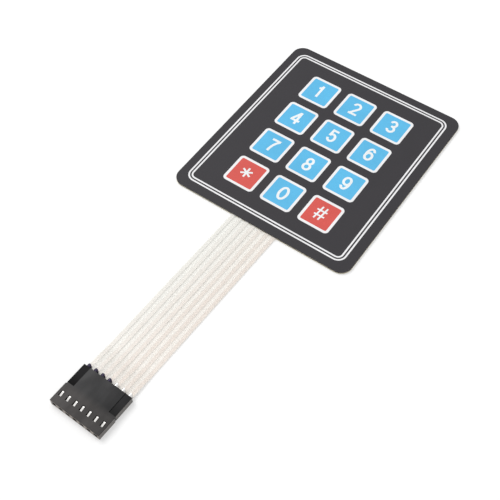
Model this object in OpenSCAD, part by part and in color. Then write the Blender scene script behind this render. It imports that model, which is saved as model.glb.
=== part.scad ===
// Twelve-key membrane keypad with a flat film tail and a seven-way crimped socket.
// Origin: centre of the pad's back face. +X from key 1 to key 3, +Y towards the
// 1-2-3 row, +Z out of the key face. The tail runs towards -Y.

/* [Pad] */
// Width of the pad
pad_w = 66; // [62:0.5:80]
// Height of the pad, from the tail's edge to the far edge
pad_h = 76; // [74:0.5:90]
// Radius of the pad's corners
pad_corner_r = 4; // [1:0.5:6]

/* [Layers] */
// Release liner on the back
liner_t = 0.1; // [0.05:0.01:0.2]
// Mounting adhesive over the liner
rear_glue_t = 0.08; // [0.05:0.01:0.15]
// Each of the two circuit films
film_t = 0.1; // [0.08:0.01:0.12]
// Spacer between the circuit films
spacer_t = 0.14; // [0.1:0.01:0.2]
// Adhesive under the printed overlay
face_glue_t = 0.08; // [0.05:0.01:0.15]
// Printed overlay
overlay_t = 0.17; // [0.12:0.01:0.3]
// Hairline between one layer and the next, so that no two share a face
seat_gap = 0.005; // [0.002:0.001:0.01]
// Depth of the printed inks in the overlay's face
print_t = 0.03; // [0.02:0.01:0.06]
// Silver ink of the traces
silver_t = 0.02; // [0.01:0.005:0.03]

/* [Keys] */
// Distance between key centres along a row
key_pitch_x = 14.35; // [13.8:0.05:15.2]
// Distance between key centres down a column
key_pitch_y = 14.8; // [13.8:0.05:15]
// Width of a key, over its white border
key_w = 11.4; // [9:0.1:13]
// Height of a key, over its white border
key_h = 11.7; // [9:0.1:13]
// Outer corner radius of a key's border
key_corner_r = 1.4; // [0.8:0.1:3]
// Width of a key's white border
key_border = 0.9; // [0.4:0.05:2]

/* [Frame lines] */
// Pad edge to the middle of the outer frame line
frame_inset = 3.4; // [2.5:0.1:5]
// Outer frame line to inner frame line, centre to centre
frame_step = 1.08; // [0.8:0.02:1.6]
// Width of each frame line
frame_line = 0.55; // [0.2:0.05:0.6]
// Corner radius at the middle of the outer frame line
frame_corner_r = 2.8; // [2.4:0.1:4]
// How far the frame is printed left of the pad's centre
frame_shift_x = 0.3; // [0:0.05:0.6]
// How far the frame is printed above the pad's centre
frame_shift_y = 0.2; // [0:0.05:0.6]

/* [Switch layers] */
// Silver contact disc under each key
disc_d = 7; // [5:0.5:8]
// Round hole in the spacer at each key
spacer_hole_d = 9; // [8.5:0.5:10]
// Air channel from hole to hole
vent_w = 0.8; // [0.4:0.1:1.5]
// Width of a silver trace
trace_w = 1.1; // [0.6:0.05:1.3]
// Pad edge to the nearest trace
lane_inset = 4; // [3:0.1:4.5]
// Trace to trace in the pad's margin
lane_pitch = 1.8; // [1.5:0.05:1.9]
// Edge of the opening in the overlay adhesive to the key's border
face_glue_gap = 0.3; // [0.1:0.05:0.5]

/* [Tail] */
// Pad edge to the back of the socket housing
tail_l = 67.9; // [40:0.1:120]
// Trace to trace in the tail, and pin to pin in the socket
way_pitch = 2.54; // [2.5:0.01:2.6]
// Middle of an outer trace to the tail's edge
tail_margin = 0.78; // [0.7:0.02:1.2]
// How far the tail leaves the pad left of its centre
tail_shift = 0.5; // [0:0.1:4]
// Angle at which the tail lies off square, towards -X
tail_skew = 1.65; // [0:0.05:3]
// Radius in the corners where the tail leaves the pad
tail_root_r = 0.8; // [0.3:0.1:2]
// Length over which the tail climbs into the socket
climb_l = 8; // [5:0.5:15]
// Level stretch between the climb and the socket
level_l = 2.4; // [2:0.1:5]

/* [Socket housing] */
// Length of the housing along the pins
housing_l = 13.9; // [12.5:0.1:16]
// Length of the front block that holds the cavities
block_l = 7; // [6.7:0.1:8]
// Wall under the contacts
floor_wall = 0.42; // [0.3:0.02:0.8]
// Wall over the contacts
roof_wall = 0.45; // [0.35:0.01:0.8]
// Wall beside the tail
side_wall = 0.3; // [0.25:0.05:0.8]
// Room between the tail's edge and the side wall
tail_side_gap = 0.15; // [0.05:0.01:0.3]
// How far the front block stands out from the rear on each side
block_step = 0.15; // [0.05:0.05:0.4]
// Wall at the mating face
front_wall = 0.5; // [0.4:0.05:0.9]
// Square pin mouth
mouth = 1; // [0.8:0.05:1.2]
// Lead-in around each pin mouth
mouth_bevel = 0.25; // [0.1:0.05:0.35]
// Length of the window behind the lance's tip
window_room = 0.15; // [0.05:0.05:0.4]
// Width of the sunk ledges along both sides of the rear
ledge_w = 2.4; // [1:0.1:3]
// Depth of the sunk ledges
ledge_depth = 0.2; // [0.05:0.05:0.25]
// Bevel along the housing's edges
edge_bevel = 0.1; // [0.05:0.01:0.2]
// Width of the notch across each side of the block
notch_d = 0.6; // [0.3:0.1:0.7]

/* [Contacts] */
// Sheet thickness of a contact
metal_t = 0.2; // [0.15:0.01:0.22]
// Outer width of the socket box
box_w = 1.7; // [1.6:0.05:1.8]
// Outer height of the socket box
box_h = 1.55; // [1.5:0.05:1.8]
// Length of the socket box
box_l = 5.6; // [5:0.1:5.8]
// Clearance between a contact and its cavity
contact_gap = 0.04; // [0.02:0.01:0.08]
// Gap between the two springs that grip a pin
spring_gap = 0.5; // [0.4:0.02:0.6]
// Thickness of each spring
spring_t = 0.12; // [0.08:0.01:0.16]
// Height of each spring
spring_h = 0.8; // [0.5:0.05:0.9]
// From the end of the box to the foot of a spring
spring_setback = 0.5; // [0.3:0.05:1]
// Mating face to the root of the locking lance
lance_start = 2.45; // [2:0.05:2.8]
// Length of the locking lance
lance_l = 1.7; // [1.2:0.1:2]
// Length of the lance's level tip
lance_tip_l = 0.3; // [0.1:0.05:0.5]
// Width of the locking lance
lance_w = 0.6; // [0.4:0.05:0.8]
// Slot on each side of the lance, in the box and in the housing
lance_gap = 0.25; // [0.1:0.05:0.25]
// How far the lance's tip stays below the housing's top
lance_below = 0.12; // [0.05:0.01:0.2]
// Front block to the tail's end
tail_setback = 0.4; // [0.3:0.05:0.6]
// Front block to the crimp
crimp_setback = 0.8; // [0.7:0.05:1.2]
// Width of the strip between box and crimp
neck_w = 1.1; // [0.8:0.05:1.3]
// Width of the crimp barrel over the tail
barrel_w = 1.45; // [1.3:0.05:1.6]
// How far the crimp barrel stands out of the housing
barrel_out = 1.1; // [0.8:0.1:1.9]
// Depth of the seam along the barrel's top
seam_depth = 0.12; // [0.05:0.01:0.2]
// Length of each pair of tines through the tail
tine_l = 0.7; // [0.4:0.1:1]
// Clearance around a tine in its slit
slit_gap = 0.02; // [0.01:0.01:0.05]

/* [Hidden] */
$fn = 48;
// Rows and columns of keys, one way of the tail for each
rows = 4;
columns = 3;
ways = rows + columns;

// Colours, as the photograph shows them
black = [0.27, 0.265, 0.28];
key_blue = [0.29, 0.73, 0.96];
key_red = [0.92, 0.3, 0.28];
white = [0.97, 0.97, 0.97];
film_tint = [0.95, 0.93, 0.88, 0.75];
glue_tint = [0.93, 0.93, 0.9, 0.8];
silver = [0.72, 0.72, 0.73];
liner_tint = [0.93, 0.89, 0.75];
housing_black = [0.13, 0.13, 0.14];
tin = [0.86, 0.85, 0.82];

// Heights of the layers' undersides, from the back face up
rear_glue_z = liner_t + seat_gap;
lower_film_z = rear_glue_z + rear_glue_t + seat_gap;
spacer_z = lower_film_z + film_t + seat_gap;
upper_film_z = spacer_z + spacer_t + seat_gap;
face_glue_z = upper_film_z + film_t + seat_gap;
overlay_z = face_glue_z + face_glue_t + seat_gap;
pad_t = overlay_z + overlay_t;
film_stack_t = upper_film_z + film_t - lower_film_z;
// Undersides of the silver, sunk in the spacer's two faces
column_silver_z = spacer_z;
row_silver_z = spacer_z + spacer_t - silver_t;
// A cut runs this far past the face that it opens
past = 1;
// Smallest radius that a printed inner corner keeps
least_corner_r = 0.3;

// The key field is centred on the pad
function key_x(column) = (column - (columns - 1) / 2) * key_pitch_x;
function key_y(row) = ((rows - 1) / 2 - row) * key_pitch_y;
// The keys beside the bottom middle one are red
function is_red(row, column) = row == rows - 1 && column != (columns - 1) / 2;

// Traces in the pad's margin, the outermost lane first
function lane_x(lane) = -pad_w / 2 + lane_inset + lane * lane_pitch;
function lane_y(lane) = -pad_h / 2 + lane_inset + lane * lane_pitch;
function way_x(way) = (way - (ways - 1) / 2) * way_pitch;
tail_w = (ways - 1) * way_pitch + 2 * tail_margin;
// The tail starts this far inside the pad, in the tail's own frame
tail_in = pad_corner_r + tail_root_r;

// Heights in the socket
contact_z = floor_wall + contact_gap;
tail_seat_z = contact_z + metal_t + seat_gap;
barrel_z = tail_seat_z + film_stack_t + seat_gap;
box_top = contact_z + box_h;
cavity_top = box_top + contact_gap;
housing_h = cavity_top + roof_wall;
pin_z = contact_z + box_h / 2;
tail_climb = tail_seat_z - lower_film_z;
// Distances from the mating face
box_start = front_wall + contact_gap;
box_end = box_start + box_l;
tail_end = block_l + tail_setback;
crimp_start = block_l + crimp_setback;
crimp_end = housing_l + barrel_out;
tine_pairs = 3;
tine_step = (housing_l - crimp_start) / tine_pairs;
cavity_w = box_w + 2 * contact_gap;
rear_room_w = tail_w + 2 * tail_side_gap;
rear_w = rear_room_w + 2 * side_wall;
block_w = rear_w + 2 * block_step;
// The slot that the lance is cut from, with the housing's window over it
window_w = lance_w + 2 * lance_gap;
window_l = lance_l + window_room;
// Bare film between a trace's end and the tail's end
trace_end_gap = 0.3;

// Tail frame: origin on the pad's edge, the tail along -Y
module in_tail_frame() {
    translate([-tail_shift, -pad_h / 2, 0])
        rotate([0, 0, -tail_skew])
            children();
}

// Socket frame: origin at the foot of the mating face, +Y towards the pad
module in_socket_frame() {
    in_tail_frame()
        translate([0, -tail_l - housing_l, 0])
            children();
}

module rounded_rectangle(width, height, radius) {
    square([width - 2 * radius, height], center = true);
    square([width, height - 2 * radius], center = true);
    for (x = [-1, 1], y = [-1, 1])
        translate([x * (width / 2 - radius), y * (height / 2 - radius)])
            circle(r = radius);
}

module rounded_ring(width, height, radius, line) {
    difference() {
        rounded_rectangle(width, height, radius);
        rounded_rectangle(width - 2 * line, height - 2 * line,
                          max(radius - line, least_corner_r));
    }
}

module pad_outline() {
    rounded_rectangle(pad_w, pad_h, pad_corner_r);
}

module pad_layer(bottom, thickness) {
    translate([0, 0, bottom])
        linear_extrude(thickness)
            pad_outline();
}

module at_keys() {
    for (row = [0:rows - 1], column = [0:columns - 1])
        translate([key_x(column), key_y(row)])
            children();
}

// Rise of the tail at a distance from the pad: level, a smooth climb, level
function climb(distance) =
    let (share = (distance - (tail_l - level_l - climb_l)) / climb_l,
         held = min(max(share, 0), 1))
    tail_climb * held * held * (3 - 2 * held);

climb_steps = 12;
// Distances along the tail where its side view has a point
function tail_stations(first, last) = concat(
    [first],
    [for (step = [0:climb_steps]) tail_l - level_l - climb_l + step * climb_l / climb_steps],
    [last]);

// A strip of the tail: side view from one distance to another, carried across its width
module tail_strip(first, last, width, bottom, thickness) {
    stations = tail_stations(first, last);
    count = len(stations);
    under = [for (s = stations) [-s, bottom + climb(s)]];
    over = [for (i = [1:count]) let (s = stations[count - i]) [-s, bottom + thickness + climb(s)]];
    rotate([90, 0, 90])
        linear_extrude(width, center = true)
            polygon(concat(under, over));
}

// Round inner corners where the tail leaves the pad's edge
module tail_root() {
    for (side = [-1, 1])
        translate([side * (tail_w / 2 + tail_root_r / 2), tail_root_r / 2 - tail_root_r])
            difference() {
                square(tail_root_r, center = true);
                translate([side * tail_root_r / 2, -tail_root_r / 2])
                    circle(r = tail_root_r);
            }
}

// Slits that the crimp tines pass through
module tine_slits() {
    in_socket_frame()
        for (way = [0:ways - 1], pair = [0:tine_pairs - 1], side = [-1, 1])
            translate([way_x(way) + side * (barrel_w - metal_t) / 2,
                       crimp_start + (pair + 0.5) * tine_step,
                       tail_seat_z + film_stack_t / 2])
                cube([metal_t + 2 * slit_gap, tine_l + 2 * slit_gap, film_stack_t + 2 * past],
                     center = true);
}

// One sheet with the pad's outline and the tail in one piece
module tailed_sheet(bottom, thickness) {
    pad_layer(bottom, thickness);
    in_tail_frame() {
        tail_strip(-tail_in, tail_l + housing_l - tail_end, tail_w, bottom, thickness);
        translate([0, 0, bottom])
            linear_extrude(thickness)
                tail_root();
    }
}

module pierced() {
    difference() {
        children();
        tine_slits();
    }
}

// A flat line of ink through points, round at its start and corners, square at its end
module ink_line(points, width) {
    last = len(points) - 1;
    for (i = [0:last - 1]) {
        span = points[i + 1] - points[i];
        translate(points[i]) {
            circle(d = width);
            rotate(atan2(span[1], span[0]))
                translate([0, -width / 2])
                    square([norm(span), width]);
        }
    }
}

// The middle of a way, at a distance from the pad's edge along the tail
function way_point(way, distance) =
    [-tail_shift + way_x(way) * cos(tail_skew) - distance * sin(tail_skew),
     -pad_h / 2 - way_x(way) * sin(tail_skew) - distance * cos(tail_skew)];
// The same inside the pad, at a lane of its lower margin
function way_at_lane(way, lane) =
    way_point(way, -(lane_y(lane) + pad_h / 2 + way_x(way) * sin(tail_skew)) / cos(tail_skew));
function way_end(way, spare) =
    way_point(way, tail_l + housing_l - tail_end - trace_end_gap + spare);

// Ink of the outline given, lying on a film all the way to the tail's end. With some
// spare it is the room for that ink, larger by the spare on every side.
module silver_layer(bottom, spare) {
    intersection() {
        tailed_sheet(bottom - spare, silver_t + 2 * spare);
        translate([0, 0, bottom - past])
            linear_extrude(silver_t + tail_climb + 2 * past)
                children();
    }
}

// Row r: three discs on a bar, then down the left margin to way r of the tail
module row_trace(row, spare = 0) {
    silver_layer(row_silver_z, spare) {
        for (column = [0:columns - 1])
            translate([key_x(column), key_y(row)])
                circle(d = disc_d);
        ink_line([[key_x(columns - 1), key_y(row)], [lane_x(row), key_y(row)],
                  [lane_x(row), lane_y(row)], way_at_lane(row, row), way_end(row, spare)],
                 trace_w + 2 * spare);
    }
}

// Column c: four discs on a bar, then along the lower margin to way rows + c of the tail
module column_trace(column, spare = 0) {
    way = rows + column;
    silver_layer(column_silver_z, spare) {
        for (row = [0:rows - 1])
            translate([key_x(column), key_y(row)])
                circle(d = disc_d);
        ink_line([[key_x(column), key_y(0)], [key_x(column), lane_y(column)],
                  way_at_lane(way, column), way_end(way, spare)],
                 trace_w + 2 * spare);
    }
}

module white_areas() {
    translate([-frame_shift_x, frame_shift_y])
        for (line = [0:1]) {
            inset = frame_inset + line * frame_step - frame_line / 2;
            rounded_ring(pad_w - 2 * inset, pad_h - 2 * inset,
                         frame_corner_r - line * frame_step + frame_line / 2, frame_line);
        }
    at_keys()
        rounded_ring(key_w, key_h, key_corner_r, key_border);
}

module key_fields(red) {
    for (row = [0:rows - 1], column = [0:columns - 1])
        if (is_red(row, column) == red)
            translate([key_x(column), key_y(row)])
                rounded_rectangle(key_w - 2 * key_border, key_h - 2 * key_border,
                                  max(key_corner_r - key_border, least_corner_r));
}

// Ink that lies flush in the overlay's face
module print_layer() {
    translate([0, 0, pad_t - print_t])
        linear_extrude(print_t)
            children();
}

module graphic_overlay() {
    color(black)
        difference() {
            pad_layer(overlay_z, overlay_t);
            print_layer() {
                white_areas();
                key_fields(true);
                key_fields(false);
            }
        }
}

module white_print() {
    color(white)
        print_layer()
            white_areas();
}

module blue_print() {
    color(key_blue)
        print_layer()
            key_fields(false);
}

module red_print() {
    color(key_red)
        print_layer()
            key_fields(true);
}

// Open over each key, so that only the films bend when a key is pressed
module overlay_adhesive() {
    color(glue_tint)
        translate([0, 0, face_glue_z])
            linear_extrude(face_glue_t)
                difference() {
                    pad_outline();
                    at_keys()
                        rounded_rectangle(key_w + 2 * face_glue_gap, key_h + 2 * face_glue_gap,
                                          key_corner_r + face_glue_gap);
                }
}

module upper_circuit_film() {
    color(film_tint)
        pierced()
            tailed_sheet(upper_film_z, film_t);
}

module row_traces() {
    color(silver)
        pierced()
            for (row = [0:rows - 1])
                row_trace(row);
}

// Keeps the two films apart and closes round the traces. Channels along the rows and
// down the middle let air pass from hole to hole.
module spacer() {
    color(glue_tint)
        difference() {
            tailed_sheet(spacer_z, spacer_t);
            translate([0, 0, spacer_z - past])
                linear_extrude(spacer_t + 2 * past) {
                    at_keys()
                        circle(d = spacer_hole_d);
                    for (row = [0:rows - 1])
                        translate([0, key_y(row)])
                            square([(columns - 1) * key_pitch_x, vent_w], center = true);
                    square([vent_w, (rows - 1) * key_pitch_y], center = true);
                }
            for (row = [0:rows - 1])
                row_trace(row, seat_gap);
            for (column = [0:columns - 1])
                column_trace(column, seat_gap);
            tine_slits();
        }
}

module column_traces() {
    color(silver)
        pierced()
            for (column = [0:columns - 1])
                column_trace(column);
}

module lower_circuit_film() {
    color(film_tint)
        pierced()
            tailed_sheet(lower_film_z, film_t);
}

module rear_adhesive() {
    color(glue_tint)
        pad_layer(rear_glue_z, rear_glue_t);
}

module release_liner() {
    color(liner_tint)
        pad_layer(0, liner_t);
}

// A rectangle with its four corners cut off
module bevelled_rectangle(low, high, bevel) {
    polygon([[low[0] + bevel, low[1]], [high[0] - bevel, low[1]],
             [high[0], low[1] + bevel], [high[0], high[1] - bevel],
             [high[0] - bevel, high[1]], [low[0] + bevel, high[1]],
             [low[0], high[1] - bevel], [low[0], low[1] + bevel]]);
}

// A block whose twelve edges are bevelled: three outlines that cross
module bevelled_block(width, start, end, height, bevel) {
    intersection() {
        linear_extrude(height)
            bevelled_rectangle([-width / 2, start], [width / 2, end], bevel);
        translate([0, end, 0])
            rotate([90, 0, 0])
                linear_extrude(end - start)
                    bevelled_rectangle([-width / 2, 0], [width / 2, height], bevel);
        translate([-width / 2, 0, 0])
            rotate([90, 0, 90])
                linear_extrude(width)
                    bevelled_rectangle([start, 0], [end, height], bevel);
    }
}

// A square mouth with a lead-in on all four sides
module pin_mouth() {
    wide = mouth / 2 + mouth_bevel;
    translate([-mouth / 2, -past, pin_z - mouth / 2])
        cube([mouth, front_wall + 2 * past, mouth]);
    intersection() {
        translate([0, 0, pin_z - wide])
            linear_extrude(2 * wide)
                polygon([[-wide, 0], [wide, 0], [mouth / 2, mouth_bevel], [-mouth / 2, mouth_bevel]]);
        rotate([90, 0, 90])
            linear_extrude(2 * wide, center = true)
                polygon([[0, pin_z - wide], [0, pin_z + wide],
                         [mouth_bevel, pin_z + mouth / 2], [mouth_bevel, pin_z - mouth / 2]]);
    }
}

module connector_housing() {
    color(housing_black)
        in_socket_frame()
            difference() {
                union() {
                    bevelled_block(block_w, 0, block_l, housing_h, edge_bevel);
                    bevelled_block(rear_w, block_l - 2 * edge_bevel, housing_l, housing_h, edge_bevel);
                }
                for (way = [0:ways - 1])
                    translate([way_x(way), 0, 0]) {
                        pin_mouth();
                        translate([-cavity_w / 2, front_wall, floor_wall])
                            cube([cavity_w, block_l - front_wall + past, cavity_top - floor_wall]);
                        translate([-window_w / 2, lance_start, box_top])
                            cube([window_w, window_l, roof_wall + past]);
                    }
                translate([-rear_room_w / 2, block_l, floor_wall])
                    cube([rear_room_w, housing_l - block_l + past, cavity_top - floor_wall]);
                for (side = [-1, 1]) {
                    translate([side * rear_w / 2, housing_l, housing_h])
                        cube([2 * ledge_w, 2 * (housing_l - block_l + edge_bevel),
                              2 * ledge_depth], center = true);
                    translate([side * block_w / 2, block_l - notch_d / 2, -past])
                        cylinder(d = notch_d, h = housing_h + 2 * past);
                }
            }
}

// The two bowed springs that grip a pin, as arcs that meet the box's side walls
module pin_springs() {
    inner = box_w / 2 - metal_t;
    bow = inner - spring_gap / 2;
    reach = box_l / 2 - spring_setback;
    radius = (reach * reach + bow * bow) / (2 * bow);
    translate([0, box_start + box_l / 2, pin_z - spring_h / 2])
        linear_extrude(spring_h)
            for (side = [-1, 1])
                intersection() {
                    translate([side * (spring_gap / 2 + radius), 0])
                        difference() {
                            circle(r = radius, $fn = 180);
                            circle(r = radius - spring_t, $fn = 180);
                        }
                    translate([side * (inner + metal_t / 2) / 2, 0])
                        square([inner + metal_t / 2, 2 * (reach + past)], center = true);
                }
}

// A tongue cut from the box's roof that rises towards the rear and catches in its window
module lance() {
    tip = housing_h - lance_below;
    root = box_top - metal_t;
    rotate([90, 0, 90])
        linear_extrude(lance_w, center = true)
            polygon([[lance_start, root], [lance_start, box_top],
                     [lance_start + lance_l - lance_tip_l, tip], [lance_start + lance_l, tip],
                     [lance_start + lance_l, tip - metal_t / 2],
                     [lance_start + lance_l - lance_tip_l, tip - metal_t]]);
}

// Outline of the crimped strip from above, with its round free end
module crimp_plan(start) {
    translate([-barrel_w / 2, start])
        square([barrel_w, crimp_end - barrel_w / 2 - start]);
    translate([0, crimp_end - barrel_w / 2])
        circle(d = barrel_w);
}

// Wings rolled together over the tail: an arched barrel with a seam along its top
module crimp_barrel() {
    rise = box_top - barrel_z - barrel_w / 2;
    difference() {
        intersection() {
            translate([0, 0, barrel_z])
                linear_extrude(box_top - barrel_z)
                    crimp_plan(crimp_start);
            translate([0, crimp_end, barrel_z])
                rotate([90, 0, 0])
                    linear_extrude(crimp_end - crimp_start) {
                        translate([-barrel_w / 2, 0])
                            square([barrel_w, rise]);
                        translate([0, rise])
                            circle(d = barrel_w);
                    }
        }
        translate([0, housing_l, box_top - seam_depth])
            rotate([90, -45, 0])
                linear_extrude(housing_l - crimp_start + past)
                    square(barrel_w / 2);
    }
}

// A stamped contact: socket box, lance, neck, and a crimp that pierces the tail
module contact(way) {
    color(tin)
        in_socket_frame()
            translate([way_x(way - 1), 0, 0]) {
                difference() {
                    translate([-box_w / 2, box_start, contact_z])
                        cube([box_w, box_l, box_h]);
                    translate([-box_w / 2 + metal_t, box_start - past, contact_z + metal_t])
                        cube([box_w - 2 * metal_t, box_l + 2 * past, box_h - 2 * metal_t]);
                    translate([-window_w / 2, lance_start, box_top - 2 * metal_t])
                        cube([window_w, window_l, 2 * metal_t + past]);
                }
                pin_springs();
                lance();
                translate([-neck_w / 2, box_end - metal_t, contact_z])
                    cube([neck_w, crimp_start - box_end + 2 * metal_t, metal_t]);
                translate([0, 0, contact_z])
                    linear_extrude(metal_t)
                        crimp_plan(crimp_start);
                for (pair = [0:tine_pairs - 1], side = [-1, 1])
                    translate([side * (barrel_w - metal_t) / 2,
                               crimp_start + (pair + 0.5) * tine_step,
                               tail_seat_z + film_stack_t / 2])
                        cube([metal_t, tine_l, film_stack_t + metal_t], center = true);
                crimp_barrel();
            }
}

graphic_overlay();
white_print();
blue_print();
red_print();
overlay_adhesive();
upper_circuit_film();
row_traces();
spacer();
column_traces();
lower_circuit_film();
rear_adhesive();
release_liner();
connector_housing();
for (way = [1:ways])
    contact(way);
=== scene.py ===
"""Looks of a twelve-key membrane keypad: a printed pad, a clear film tail and a black socket.

Places and sizes are in millimetres until a mesh, a light or the camera takes them.
"""
import math

import bpy
import numpy as np
from mathutils import Matrix, Vector


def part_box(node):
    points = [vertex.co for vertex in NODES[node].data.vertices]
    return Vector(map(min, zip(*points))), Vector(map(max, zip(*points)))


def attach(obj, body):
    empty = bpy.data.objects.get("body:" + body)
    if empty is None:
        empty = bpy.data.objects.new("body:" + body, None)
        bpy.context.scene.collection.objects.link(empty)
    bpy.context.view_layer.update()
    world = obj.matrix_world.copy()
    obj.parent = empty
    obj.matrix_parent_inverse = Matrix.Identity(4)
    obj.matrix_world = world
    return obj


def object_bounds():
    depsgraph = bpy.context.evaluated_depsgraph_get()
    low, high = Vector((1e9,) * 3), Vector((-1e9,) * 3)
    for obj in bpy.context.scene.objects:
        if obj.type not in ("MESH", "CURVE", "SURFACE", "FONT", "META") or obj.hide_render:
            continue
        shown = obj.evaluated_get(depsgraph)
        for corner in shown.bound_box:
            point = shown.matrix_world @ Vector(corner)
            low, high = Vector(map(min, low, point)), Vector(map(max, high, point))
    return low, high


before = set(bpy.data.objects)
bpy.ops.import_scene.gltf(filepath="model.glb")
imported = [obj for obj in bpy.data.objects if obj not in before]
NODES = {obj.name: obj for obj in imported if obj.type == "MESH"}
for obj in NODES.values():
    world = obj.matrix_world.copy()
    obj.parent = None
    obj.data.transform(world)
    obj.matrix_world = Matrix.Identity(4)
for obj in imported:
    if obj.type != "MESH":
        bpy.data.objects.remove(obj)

MM = 0.001
CAD_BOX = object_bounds()
CONTACTS = sorted(name for name in NODES if name.startswith("contact_"))

# Camera, solved from the key centres, the pad's edges and the socket, then laid over the photo
CAMERA_AZIMUTH = 34.99
CAMERA_ELEVATION = 55.385
CAMERA_AIM = (3.635, -45.895, 0.0)
CAMERA_DISTANCE = 283.2
SENSOR_WIDTH = 36.0
LENS = 66.266

# Light on a level surface, as a share of what renders a colour as it is written
WORLD_LEVEL = 0.71
KEY_LEVEL = 0.37
KEY_AZIMUTH = -98
KEY_ELEVATION = 56
KEY_DISTANCE = 900
KEY_WIDTH = 500

# Floor: its white as the camera sees it, its own glow near the part and far from it and where
# that changes, its white for all other light, half its width, and how far below the part it is
FLOOR_SEEN = 0.7
FLOOR_GLOW = (0.34, 0.55)
FLOOR_FAR = (200, 700)
FLOOR_BOUNCE = 0.85
FLOOR_HALF = 1500
FLOOR_DROP = 0.02

# Signs on the keys: their pitch, how far they sit above the keys' middles, each one's own
# shift, stroke widths, and half the size between the middles of outer strokes
SIGN_PITCH = (14.35, 14.88)
SIGN_LIFT = 0.14
SIGN_ROWS = ("123", "456", "789", "*0#")
SIGN_NAMES = {"*": "star_sign", "#": "hash_sign"}
SIGN_SHIFTS = {"1": (-0.15, 0), "3": (0, 0.15), "6": (0, 0.15), "7": (0.36, -0.05),
               "8": (0, -0.08), "9": (0, 0.15), "*": (-0.2, 0), "#": (-0.2, 0.15)}
STROKE = 0.86
THIN_STROKES = {"*": 0.66, "#": 0.57}
HALF_W = 1.17
HALF_H = 2.45
INK_RISE = 0.012
INK_SINK = 0.006
INK_STEP = 0.0015

# The tail lies this many degrees off square, and with it the socket and the film's grain
TAIL_TURN = -1.65
# Middle of the socket's mating face
SOCKET_FACE = (-2.855, -119.766, 0)
# How fast the film and the silver grow warmer to the right and towards the socket
WARMTH_PER_MM = (1 / 14, -1 / 90, 0)

# Housing, across from its middle: where its sides begin, the painted sheen on its top fades to
# the right, its gloss falls off and its ledges grow glossier
SIDES = (8.72, 8.8)
SHEEN_FADES = (-5.2, 6.8)
GLOSS_FALLS = (2.8, 5.8)
LEDGE_GLOSS_GROWS = (0, 4)
# Housing, back from its mating face: where the face ends, the top's paler front, a painted
# sheen, goes over into its rear, and the ledges' painted shade lightens from their front ends on
FACE_ENDS = (0.01, 0.03)
FRONT_SHEEN_ENDS = (5.5, 7.6)
LEDGE_SHADE_LIFTS = (6.9, 10.9)
# Depth of the ledges, and how far off their height their skin begins to end, and ends
LEDGE_DEPTH = 0.2
SEAM = (0.01, 0.03)

# Contacts: where a mouth's painted brass glint begins to give way to painted shade and has, back
# from the housing's foremost corner, where a barrel's own colour begins and is full, ahead of its
# rearmost corner, how far a lance rises over its contact's box, and how many barrels on the left
# carry a painted dark reflection
BRASS_GLINT = (1.6, 2.3)
BARREL = (1.2, 0.9)
LANCE_RISE = 0.37
DARK_REFLECTING_BARRELS = 4


def direction(azimuth, elevation):
    """Unit vector towards a place seen at an azimuth (0 is -Y, 90 is +X) and an elevation."""
    a = math.radians(azimuth)
    e = math.radians(elevation)
    return Vector((math.sin(a) * math.cos(e), -math.cos(a) * math.cos(e), math.sin(e)))


def facing(back, place):
    """A level camera's or lamp's matrix: it stands at a place and looks against back."""
    right = Vector((0, 0, 1)).cross(back).normalized()
    up = back.cross(right)
    turn = Matrix((right, up, back)).transposed().to_4x4()
    return Matrix.Translation(place) @ turn


def make_camera():
    data = bpy.data.cameras.new("photo_camera")
    data.sensor_width = SENSOR_WIDTH
    data.lens = LENS
    data.clip_start = 0.01
    camera = bpy.data.objects.new("photo_camera", data)
    bpy.context.scene.collection.objects.link(camera)
    back = direction(CAMERA_AZIMUTH, CAMERA_ELEVATION)
    camera.matrix_world = facing(back, (Vector(CAMERA_AIM) + back * CAMERA_DISTANCE) * MM)
    bpy.context.scene.camera = camera


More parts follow.
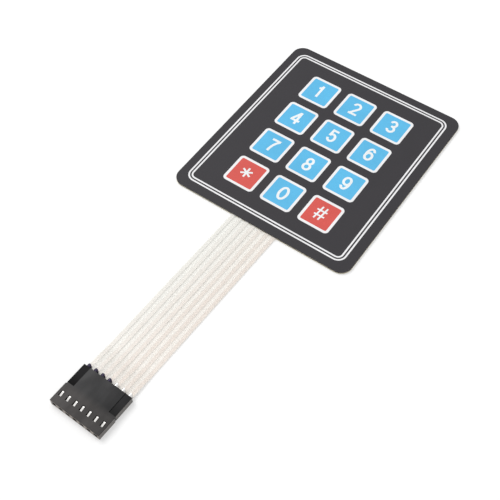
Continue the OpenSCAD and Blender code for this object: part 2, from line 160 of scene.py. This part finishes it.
class Finish:
    """One material: a Principled shader, and patterns on Object coordinates that feed it."""

    def __init__(self, name, colour, roughness, **sockets):
        self.material = bpy.data.materials.new(name)
        self.material.use_nodes = True
        self.tree = self.material.node_tree
        self.shader = self.tree.nodes["Principled BSDF"]
        self.shader.inputs["Base Color"].default_value = (*colour, 1)
        self.shader.inputs["Roughness"].default_value = roughness
        for socket, value in sockets.items():
            self.shader.inputs[socket.replace("_", " ")].default_value = value
        self.place = self.add("ShaderNodeTexCoord").outputs["Object"]

    def add(self, kind, **links):
        """A new node of a kind, with each named input linked or given its value."""
        node = self.tree.nodes.new(kind)
        for name, value in links.items():
            self.feed(node.inputs[name.replace("_", " ")], value)
        return node

    def feed(self, socket, value):
        if isinstance(value, bpy.types.NodeSocket):
            self.tree.links.new(value, socket)
        else:
            socket.default_value = value

    def grain(self, size, detail=2.0, stretch=(1, 1, 1), turn=0.0):
        """Soft noise from 0 to 1, its blobs about size millimetres across times the stretch."""
        turned = self.add("ShaderNodeMapping", Vector=self.place)
        turned.vector_type = "TEXTURE"
        turned.inputs["Rotation"].default_value = (0, 0, math.radians(turn))
        turned.inputs["Scale"].default_value = [size * MM * s for s in stretch]
        return self.add("ShaderNodeTexNoise", Vector=turned.outputs[0], Scale=1.0,
                        Detail=detail).outputs[0]

    def along(self, axis):
        """The coordinate along an axis, in metres."""
        return self.add("ShaderNodeSeparateXYZ", Vector=self.place).outputs[axis]

    def maths(self, operation, *values):
        node = self.tree.nodes.new("ShaderNodeMath")
        node.operation = operation
        for socket, value in zip(node.inputs, values):
            self.feed(socket, value)
        return node.outputs[0]

    def warmth(self):
        """From 0 beside the pad on the tail's left to 1 along its right, where film and silver are
        warmest.
        """
        node = self.add("ShaderNodeVectorMath")
        node.operation = "DOT_PRODUCT"
        self.feed(node.inputs[0], self.place)
        node.inputs[1].default_value = [share / MM for share in WARMTH_PER_MM]
        return self.between(node.outputs["Value"], 0, 1, at=(0, 1))

    def in_socket(self):
        """Across and along the socket, from the middle of its mating face, in metres."""
        node = self.add("ShaderNodeMapping", Vector=self.place)
        node.vector_type = "TEXTURE"
        node.inputs["Location"].default_value = [place * MM for place in SOCKET_FACE]
        node.inputs["Rotation"].default_value = (0, 0, math.radians(TAIL_TURN))
        own = self.add("ShaderNodeSeparateXYZ", Vector=node.outputs[0])
        return own.outputs["X"], own.outputs["Y"]

    def between(self, value, low, high, at=(0.35, 0.65)):
        """The value carried from the range at to low..high, and held at its ends."""
        node = self.add("ShaderNodeMapRange", Value=value, From_Min=at[0], From_Max=at[1],
                        To_Min=low, To_Max=high)
        return node.outputs[0]

    def past(self, place, ends):
        """From 0 before to 1 past a stretch, its ends given in millimetres."""
        return self.between(place, 0, 1, at=(ends[0] * MM, ends[1] * MM))

    def before(self, place, ends):
        """From 1 before to 0 past a stretch, its ends given in millimetres."""
        return self.between(place, 1, 0, at=(ends[0] * MM, ends[1] * MM))

    def blended(self, share, first, second):
        """A number that goes from first to second with the share."""
        return self.between(share, first, second, at=(0, 1))

    def mixed(self, share, first, second):
        """A colour that goes from first to second with the share."""
        node = self.tree.nodes.new("ShaderNodeMix")
        node.data_type = "RGBA"
        self.feed(node.inputs[0], share)
        for socket, colour in ((node.inputs[6], first), (node.inputs[7], second)):
            self.feed(socket, colour if isinstance(colour, bpy.types.NodeSocket) else (*colour, 1))
        return node.outputs[2]

    def bumped(self, height, depth, under=None):
        """Bump whose relief is depth millimetres deep, over another bump if one is given."""
        node = self.add("ShaderNodeBump", Height=height, Distance=depth * MM)
        if under is not None:
            self.feed(node.inputs["Normal"], under)
        return node.outputs[0]

    def paint(self, **sockets):
        for name, value in sockets.items():
            self.feed(self.shader.inputs[name.replace("_", " ")], value)
        return self.material


def shaded(colour, factor):
    return tuple(c * factor for c in colour)


def printed_film(name, colour, gloss=0.3):
    """Matt polyester over one ink: a pebbled skin, ink a little uneven, gloss a little cloudy."""
    finish = Finish(name, colour, 0.5, Specular_IOR_Level=gloss)
    pebbles = finish.grain(0.16, detail=3.0)
    clouds = finish.grain(9.0, detail=3.0)
    speckle = finish.grain(0.35, detail=1.0)
    ink = finish.mixed(finish.between(clouds, 0, 1), shaded(colour, 0.95), shaded(colour, 1.05))
    ink = finish.mixed(finish.between(speckle, 0, 0.5), ink, shaded(colour, 0.9))
    relief = finish.bumped(pebbles, 0.012)
    return finish.paint(Base_Color=ink, Normal=relief,
                        Roughness=finish.between(clouds, 0.46, 0.56))


def clear_film(name, cool, warm, alpha, roughness):
    """Clear polyester, a little milky, warmer and darker on the right, drawn in fine lines along
    the tail.
    """
    finish = Finish(name, warm, roughness, Alpha=alpha, Specular_IOR_Level=0.5)
    clouds = finish.grain(6.0, detail=3.0)
    lines = finish.grain(0.12, detail=2.0, stretch=(1, 60, 1), turn=TAIL_TURN)
    tint = finish.mixed(finish.warmth(), cool, warm)
    tint = finish.mixed(finish.between(clouds, 0, 0.15), tint, shaded(warm, 0.97))
    relief = finish.bumped(lines, 0.0005)
    return finish.paint(Base_Color=tint, Normal=relief,
                        Roughness=finish.between(clouds, roughness - 0.05, roughness + 0.08))


def silver_ink():
    """Screened silver: flat, finely granular and matt, warmer and darker on the tail's right."""
    cool = (0.8, 0.8, 0.78)
    warm = (0.78, 0.72, 0.685)
    finish = Finish("silver_ink", warm, 0.5, Metallic=0.15)
    grit = finish.grain(0.07, detail=2.0)
    weave = finish.grain(1.2, detail=2.0)
    tint = finish.mixed(finish.warmth(), cool, warm)
    tint = finish.mixed(finish.between(grit, 0, 0.5), tint, shaded(warm, 0.9))
    return finish.paint(Base_Color=tint, Normal=finish.bumped(grit, 0.001),
                        Roughness=finish.between(weave, 0.5, 0.58))


def release_paper():
    """Waxed cream paper with short fibres and a soft sheen."""
    colour = (0.84, 0.78, 0.6)
    finish = Finish("release_paper", colour, 0.45)
    fibres = finish.grain(0.2, detail=4.0, stretch=(1, 5, 1), turn=20)
    crossed = finish.grain(0.2, detail=4.0, stretch=(5, 1, 1), turn=-15)
    clouds = finish.grain(7.0, detail=4.0)
    tint = finish.mixed(finish.between(fibres, 0, 1), shaded(colour, 0.96), shaded(colour, 1.03))
    tint = finish.mixed(finish.between(clouds, 0, 0.6), tint, shaded(colour, 0.93))
    relief = finish.bumped(crossed, 0.006, finish.bumped(fibres, 0.006))
    return finish.paint(Base_Color=tint, Normal=relief,
                        Roughness=finish.between(clouds, 0.36, 0.55))


def housing_parts(finish):
    """For each part of the housing a share: 1 on that part, and 0 away from it."""
    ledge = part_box("connector_housing")[1].z / MM - LEDGE_DEPTH
    height = finish.along("Z")
    width, length = finish.in_socket()
    top = finish.past(height, (ledge - SEAM[1], ledge - SEAM[0]))
    not_higher = finish.before(height, (ledge + SEAM[0], ledge + SEAM[1]))
    return {"top": top,
            "ledge": finish.maths("MULTIPLY", top, not_higher),
            # Where the ledges' painted shade is deepest, at their front ends
            "ledge_front": finish.before(length, LEDGE_SHADE_LIFTS),
            "ledge_right": finish.past(width, LEDGE_GLOSS_GROWS),
            # The top's painted sheen: paler towards the front, and fading from the left to the
            # right
            "front": finish.before(length, FRONT_SHEEN_ENDS),
            "right": finish.past(width, SHEEN_FADES),
            "far_right": finish.past(width, GLOSS_FALLS),
            "side": finish.past(finish.maths("ABSOLUTE", width), SIDES),
            "face": finish.before(length, FACE_ENDS)}


def housing_tint(finish, parts, flow):
    """The top with its painted sheen and the ledges with their painted shade, each from left to
    right or rear to front, and the rest below, with its painted reflections.
    """
    # Each pair is the top's colour on the left and on the right: the lighter left and the paler
    # front are a painted sheen
    rear_top_with_sheen = ((0.032, 0.031, 0.0325), (0.007, 0.0068, 0.0075))
    front_top_with_sheen = ((0.05, 0.045, 0.0435), (0.036, 0.0325, 0.031))
    # The ledges' painted shade: lighter at their rear ends, darkest at their front ends
    ledge_shade = ((0.012, 0.0115, 0.0125), (0.0005, 0.0005, 0.0005))
    cavity = (0.005, 0.005, 0.0055)
    # The sides' paler, brownish colour is a painted reflection of the floor
    side = (0.052, 0.04, 0.031)
    # The mating face's brownish colour is a painted reflection of the brass contacts
    face_brass_reflection = (0.13, 0.086, 0.05)
    tint = finish.mixed(parts["right"], *rear_top_with_sheen)
    tint = finish.mixed(parts["front"], tint, finish.mixed(parts["right"], *front_top_with_sheen))
    tint = finish.mixed(parts["ledge"], tint, finish.mixed(parts["ledge_front"], *ledge_shade))
    tint = finish.mixed(finish.between(flow, 0, 0.25), tint, shaded(rear_top_with_sheen[1], 0.8))
    below = finish.mixed(parts["side"], cavity, side)
    below = finish.mixed(parts["face"], below, face_brass_reflection)
    return finish.mixed(parts["top"], below, tint)


def housing_gloss(finish, parts):
    """Specular level, lowest on the ledges and highest on the sides."""
    ledge = finish.blended(parts["ledge_right"], 0.06, 0.12)
    top = finish.blended(parts["far_right"], 0.24, 0.18)
    top = finish.blended(parts["front"], top, 0.24)
    top = finish.blended(parts["ledge"], top, ledge)
    below = finish.blended(parts["side"], 0.3, 0.9)
    below = finish.blended(parts["face"], below, 0.75)
    return finish.blended(parts["top"], below, top)


def housing_plastic():
    """Black moulding: spark-eroded on top, where a painted sheen makes it paler at its front, and
    dullest on its ledges.

    The painted sheen fades from the left to the right, and a ledge carries painted shade, darkest
    at its front end. Its sides carry a painted reflection of the floor, its mating face a painted
    brownish reflection of the brass contacts, and its cavities and its underside are blackest.
    """
    finish = Finish("housing_plastic", (0.032, 0.031, 0.0325), 0.5, Specular_IOR_Level=0.25)
    skin = finish.grain(0.09, detail=3.0)
    flow = finish.grain(3.0, detail=3.0, stretch=(1, 2.5, 1), turn=TAIL_TURN)
    parts = housing_parts(finish)
    matt = finish.maths("MULTIPLY", finish.between(flow, 0.85, 1.08),
                        finish.blended(parts["top"], 0.28, 0.5))
    return finish.paint(Base_Color=housing_tint(finish, parts, flow), Roughness=matt,
                        Normal=finish.bumped(skin, 0.004),
                        Specular_IOR_Level=housing_gloss(finish, parts))


def tin_plate(name, barrel_colour):
    """Bright tin on the lance, brass with a painted glint at the mouth, and brass darkened with
    painted shade behind it.

    The lance stands higher than the contact's box. The barrel, from inside the housing's
    rear on, has its own colour, which on the left barrels is a painted dark reflection.
    """
    bright = (0.53, 0.52, 0.505)
    # At the mouth, bright brass: a painted glint
    brass = (0.85, 0.66, 0.3)
    # Behind the mouth, darkened brass: painted shade inside the housing
    brass_in_shade = (0.12, 0.09, 0.045)
    finish = Finish(name, bright, 0.4, Metallic=1.0)
    lines = finish.grain(0.05, detail=2.0, stretch=(1, 25, 1), turn=TAIL_TURN)
    stains = finish.grain(0.8, detail=3.0)
    length = finish.along("Y")
    front, rear = (corner.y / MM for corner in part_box("connector_housing"))
    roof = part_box(CONTACTS[0])[1].z / MM - LANCE_RISE
    # Share of the painted glint at the mouth, in colour and in a lower metallic, over the painted
    # shade behind it
    mouth = finish.before(length, (front + BRASS_GLINT[0], front + BRASS_GLINT[1]))
    raised = finish.past(finish.along("Z"), (roof, roof + 0.02))
    outside = finish.past(length, (rear - BARREL[0], rear - BARREL[1]))
    tint = finish.mixed(finish.between(stains, 0, 0.6), brass_in_shade, shaded(brass_in_shade, 0.6))
    tint = finish.mixed(mouth, tint, brass)
    shine = finish.mixed(finish.between(stains, 0, 0.4), bright, shaded(bright, 0.85))
    tint = finish.mixed(raised, tint, shine)
    tint = finish.mixed(outside, tint, barrel_colour)
    return finish.paint(Base_Color=tint, Normal=finish.bumped(lines, 0.003),
                        Metallic=finish.blended(mouth, 1, 0.2),
                        Roughness=finish.between(stains, 0.36, 0.5))


def dress(node, material):
    """Gives a CAD node one material in all its slots."""
    slots = NODES[node].material_slots
    if not slots:
        NODES[node].data.materials.append(material)
    for slot in slots:
        slot.material = material


def dress_layers():
    film = clear_film("circuit_film", cool=(1.0, 1.0, 0.92), warm=(0.985, 0.92, 0.825),
                      alpha=0.13, roughness=0.22)
    glue = clear_film("clear_adhesive", cool=(0.96, 0.95, 0.9), warm=(0.95, 0.9, 0.82),
                      alpha=0.03, roughness=0.4)
    silver = silver_ink()
    dress("graphic_overlay", printed_film("overlay_film", (0.0375, 0.0352, 0.0397), gloss=0.2))
    dress("white_print", printed_film("white_ink", (0.88, 0.88, 0.89)))
    dress("blue_print", printed_film("blue_ink", (0.107, 0.49, 0.8)))
    dress("red_print", printed_film("red_ink", (0.665, 0.093, 0.077)))
    for node in ("overlay_adhesive", "spacer", "rear_adhesive"):
        dress(node, glue)
    for node in ("upper_circuit_film", "lower_circuit_film"):
        dress(node, film)
    for node in ("row_traces", "column_traces"):
        dress(node, silver)
    dress("release_liner", release_paper())


def dress_socket():
    """The barrels on the left carry a painted dark reflection, and the others are bright."""
    dress("connector_housing", housing_plastic())
    # Barrels whose dark colour is a painted reflection of a dark surrounding
    dark_reflecting = tin_plate("dark_reflection_tin", (0.035, 0.03, 0.05))
    bright = tin_plate("bright_tin", (0.66, 0.65, 0.64))
    for number, node in enumerate(CONTACTS):
        dress(node, dark_reflecting if number < DARK_REFLECTING_BARRELS else bright)


def bend(centre, radii, start, end, count=26):
    """Points on an ellipse, its angle going evenly from start to end degrees."""
    angle = np.radians(np.linspace(start, end, count))
    return np.column_stack((centre[0] + radii[0] * np.cos(angle),
                            centre[1] + radii[1] * np.sin(angle)))


def line(*corners):
    return np.array(corners, float)


def joined(*parts):
    return np.concatenate(parts)


def sign_table():
    """Middle lines of each sign's strokes, in millimetres from the sign's centre."""
    top = HALF_H + STROKE / 2
    side = HALF_W + STROKE / 2
    table = {
        "0": [bend((0, 0), (HALF_W + 0.15, HALF_H), 0, 360, 49)],
        "1": [line((0.05, -top), (0.05, top)),
              line((-1.05, 1.4), (-0.45, 1.6), (0, 2.3))],
        "2": [joined(bend((0, 1.16), (HALF_W, 1.29), 172, -42), line((-1.05, -HALF_H))),
              line((-side, -HALF_H), (side, -HALF_H))],
        "3": [joined(bend((-0.05, 1.26), (1.03, 1.19), 168, -90), line((-0.45, 0.07))),
              bend((-0.05, -1.19), (HALF_W, 1.26), 90, -168)],
        "4": [line((0.55, -top), (0.55, top)),
              line((-side - 0.1, -1.2), (side + 0.1, -1.2)),
              line((0.4, 2.55), (-1.35, -1.1))],
        "5": [line((-0.85, HALF_H), (HALF_W, HALF_H)),
              line((-0.8, top), (-1.0, -0.2)),
              bend((0, -0.86), (HALF_W, 1.59), 148, -165)],
        "6": [bend((0, -0.92), (HALF_W, 1.53), 0, 360, 41),
              bend((0.06, 0), (HALF_W + 0.06, HALF_H), 36, 192)],
        "7": [line((-side, HALF_H), (side, HALF_H)),
              bend((2.2, -3.1), (2.75, 5.7), 110, 177)],
        "8": [bend((0, 1.26), (1.0, 1.19), 0, 360, 41),
              bend((0, -1.19), (HALF_W, 1.26), 0, 360, 41)],
        "*": [bend((0, 0.3), (2.05, 2.05), angle, angle + 180, 2) for angle in (30, 90, 150)],
        "#": [line((x - 0.3, -2.7), (x + 0.3, 2.7)) for x in (-0.8, 0.8)]}
    table["#"] += [line((-1.85, y), (1.85, y)) for y in (-1, 1)]
    table["9"] = [-points for points in table["6"]]
    return table


def side_steps(points, closed):
    """For each point of a line, the step to its left that keeps a ribbon's width at bends.

    It is the mean of the unit normals before and after the point, over the squared length
    of that mean. At an open end both are the end's own normal.
    """
    ahead = np.roll(points, -1, axis=0) - points
    if not closed:
        ahead[-1] = ahead[-2]
    normal = np.column_stack((-ahead[:, 1], ahead[:, 0]))
    normal /= np.linalg.norm(normal, axis=1, keepdims=True)
    before = np.roll(normal, 1, axis=0)
    if not closed:
        before[0] = normal[0]
    mean = (normal + before) / 2
    return mean / (mean ** 2).sum(axis=1, keepdims=True)


def ribbon_faces(count, around, closed):
    """Quads between neighbouring rings of points, and an end face on each end of an open one."""
    rows = np.arange(count if closed else count - 1)[:, None]
    columns = np.arange(around)[None, :]
    here = rows * around
    there = (rows + 1) % count * around
    beside = (columns + 1) % around
    quads = np.dstack((here + columns, here + beside, there + beside, there + columns))
    faces = quads.reshape(-1, 4).tolist()
    if not closed:
        faces.append(list(range(around))[::-1])
        faces.append(list(range((count - 1) * around, count * around)))
    return faces


def ink_ribbon(points, width, level):
    """A low dome of ink carried along a line: vertices and faces of one closed ribbon.

    Across the ribbon s goes from -1 to 1, and the dome's height over the level is the ink's
    rise times one minus s to the fourth. It is closed by a flat underside just below the level.
    """
    closed = np.allclose(points[0], points[-1])
    if closed:
        points = points[:-1]
    s = np.linspace(1, -1, 9)
    across = np.concatenate((s, (-1, 1)))
    height = np.concatenate((INK_RISE * (1 - s ** 4), (-INK_SINK, -INK_SINK)))
    step = side_steps(points, closed)
    flat = points[:, None] + step[:, None] * (across * width / 2)[None, :, None]
    rise = np.broadcast_to(level + height, flat.shape[:2])
    vertices = np.dstack((flat, rise)).reshape(-1, 3)
    return vertices, ribbon_faces(*rise.shape, closed)


def make_sign(sign, strokes, centre, level, material):
    """All strokes of one sign as one piece, each a step above the one that it crosses."""
    width = THIN_STROKES.get(sign, STROKE)
    vertices = []
    faces = []
    for order, points in enumerate(strokes):
        height = level + order * INK_STEP
        new_vertices, new_faces = ink_ribbon(points + centre, width, height)
        start = len(vertices)
        vertices.extend(new_vertices * MM)
        faces.extend([start + i for i in face] for face in new_faces)
    name = SIGN_NAMES.get(sign, "digit_" + sign)
    mesh = bpy.data.meshes.new(name)
    mesh.from_pydata(vertices, [], faces)
    mesh.materials.append(material)
    piece = bpy.data.objects.new(name, mesh)
    bpy.context.scene.collection.objects.link(piece)
    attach(piece, "root")


def make_signs():
    """One sign in the middle of each key."""
    material = printed_film("sign_ink", (0.86, 0.9, 0.91))
    table = sign_table()
    low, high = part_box("blue_print")
    middle = np.array(((low.x + high.x) / 2, (low.y + high.y) / 2)) / MM
    rows = len(SIGN_ROWS)
    for row, signs in enumerate(SIGN_ROWS):
        for column, sign in enumerate(signs):
            x = (column - (len(signs) - 1) / 2) * SIGN_PITCH[0]
            y = ((rows - 1) / 2 - row) * SIGN_PITCH[1] + SIGN_LIFT
            centre = middle + (x, y) + SIGN_SHIFTS.get(sign, (0, 0))
            make_sign(sign, table[sign], centre, high.z / MM, material)


def seen_rays(tree):
    """1 for rays that see a surface: from the camera, off gloss or through glass."""
    path = tree.nodes.new("ShaderNodeLightPath")
    seen = path.outputs["Is Camera Ray"]
    for name in ("Is Glossy Ray", "Is Transmission Ray"):
        either = tree.nodes.new("ShaderNodeMath")
        either.operation = "MAXIMUM"
        tree.links.new(seen, either.inputs[0])
        tree.links.new(path.outputs[name], either.inputs[1])
        seen = either.outputs[0]
    return seen


def make_world():
    """White to look at, and a plain even light on the object."""
    world = bpy.data.worlds.new("studio")
    bpy.context.scene.world = world
    world.use_nodes = True
    tree = world.node_tree
    light = tree.nodes["Background"]
    light.inputs["Color"].default_value = (1, 1, 1, 1)
    light.inputs["Strength"].default_value = WORLD_LEVEL
    white = tree.nodes.new("ShaderNodeBackground")
    white.inputs["Color"].default_value = (1, 1, 1, 1)
    mix = tree.nodes.new("ShaderNodeMixShader")
    tree.links.new(seen_rays(tree), mix.inputs[0])
    tree.links.new(light.outputs[0], mix.inputs[1])
    tree.links.new(white.outputs[0], mix.inputs[2])
    tree.links.new(mix.outputs[0], tree.nodes["World Output"].inputs["Surface"])


def floor_glow(tree):
    """The floor's glow, which makes up for the key's light where that falls off far away."""
    place = tree.nodes.new("ShaderNodeTexCoord")
    away = tree.nodes.new("ShaderNodeVectorMath")
    away.operation = "LENGTH"
    rise = tree.nodes.new("ShaderNodeMapRange")
    rise.inputs["From Min"].default_value = FLOOR_FAR[0] * MM
    rise.inputs["From Max"].default_value = FLOOR_FAR[1] * MM
    rise.inputs["To Min"].default_value = FLOOR_GLOW[0]
    rise.inputs["To Max"].default_value = FLOOR_GLOW[1]
    tree.links.new(place.outputs["Object"], away.inputs[0])
    tree.links.new(away.outputs["Value"], rise.inputs["Value"])
    return rise.outputs[0]


def floor_finish():
    """Pale matt table: white to look at, with its soft shadows kept."""
    material = bpy.data.materials.new("table_white")
    material.use_nodes = True
    tree = material.node_tree
    tree.nodes.remove(tree.nodes["Principled BSDF"])
    bounce = tree.nodes.new("ShaderNodeBsdfDiffuse")
    bounce.inputs["Color"].default_value = (FLOOR_BOUNCE, FLOOR_BOUNCE, FLOOR_BOUNCE, 1)
    shade = tree.nodes.new("ShaderNodeBsdfDiffuse")
    shade.inputs["Color"].default_value = (FLOOR_SEEN, FLOOR_SEEN, FLOOR_SEEN, 1)
    glow = tree.nodes.new("ShaderNodeEmission")
    glow.inputs["Strength"].default_value = FLOOR_GLOW[0]
    tree.links.new(floor_glow(tree), glow.inputs["Strength"])
    both = tree.nodes.new("ShaderNodeAddShader")
    mix = tree.nodes.new("ShaderNodeMixShader")
    tree.links.new(shade.outputs[0], both.inputs[0])
    tree.links.new(glow.outputs[0], both.inputs[1])
    tree.links.new(seen_rays(tree), mix.inputs[0])
    tree.links.new(bounce.outputs[0], mix.inputs[1])
    tree.links.new(both.outputs[0], mix.inputs[2])
    tree.links.new(mix.outputs[0], tree.nodes["Material Output"].inputs["Surface"])
    return material


def make_floor():
    half = FLOOR_HALF * MM
    height = CAD_BOX[0].z - FLOOR_DROP * MM
    mesh = bpy.data.meshes.new("table")
    corners = [(x * half, y * half, height) for x, y in ((-1, -1), (1, -1), (1, 1), (-1, 1))]
    mesh.from_pydata(corners, [], [(0, 1, 2, 3)])
    mesh.materials.append(floor_finish())
    floor = bpy.data.objects.new("table", mesh)
    bpy.context.scene.collection.objects.link(floor)


def make_key():
    """A square softbox that adds its level of light to a level surface where it aims.

    A lamp of power P at a distance d lights a facing white surface to P / (pi d) squared,
    counted with one pi for the lamp and one for the surface. On a level surface that is
    times the sine of the lamp's elevation.
    """
    distance = KEY_DISTANCE * MM
    data = bpy.data.lights.new("key_softbox", "AREA")
    data.size = KEY_WIDTH * MM
    data.energy = KEY_LEVEL * (math.pi * distance) ** 2 / math.sin(math.radians(KEY_ELEVATION))
    lamp = bpy.data.objects.new("key_softbox", data)
    bpy.context.scene.collection.objects.link(lamp)
    back = direction(KEY_AZIMUTH, KEY_ELEVATION)
    lamp.matrix_world = facing(back, Vector(CAMERA_AIM) * MM + back * distance)


make_camera()
bpy.context.scene.view_settings.view_transform = "Standard"
# A ray crosses six film faces on its way down through the tail, and six on its way up
bpy.context.scene.cycles.transparent_max_bounces = 24
dress_layers()
dress_socket()
make_signs()
make_world()
make_floor()
make_key()
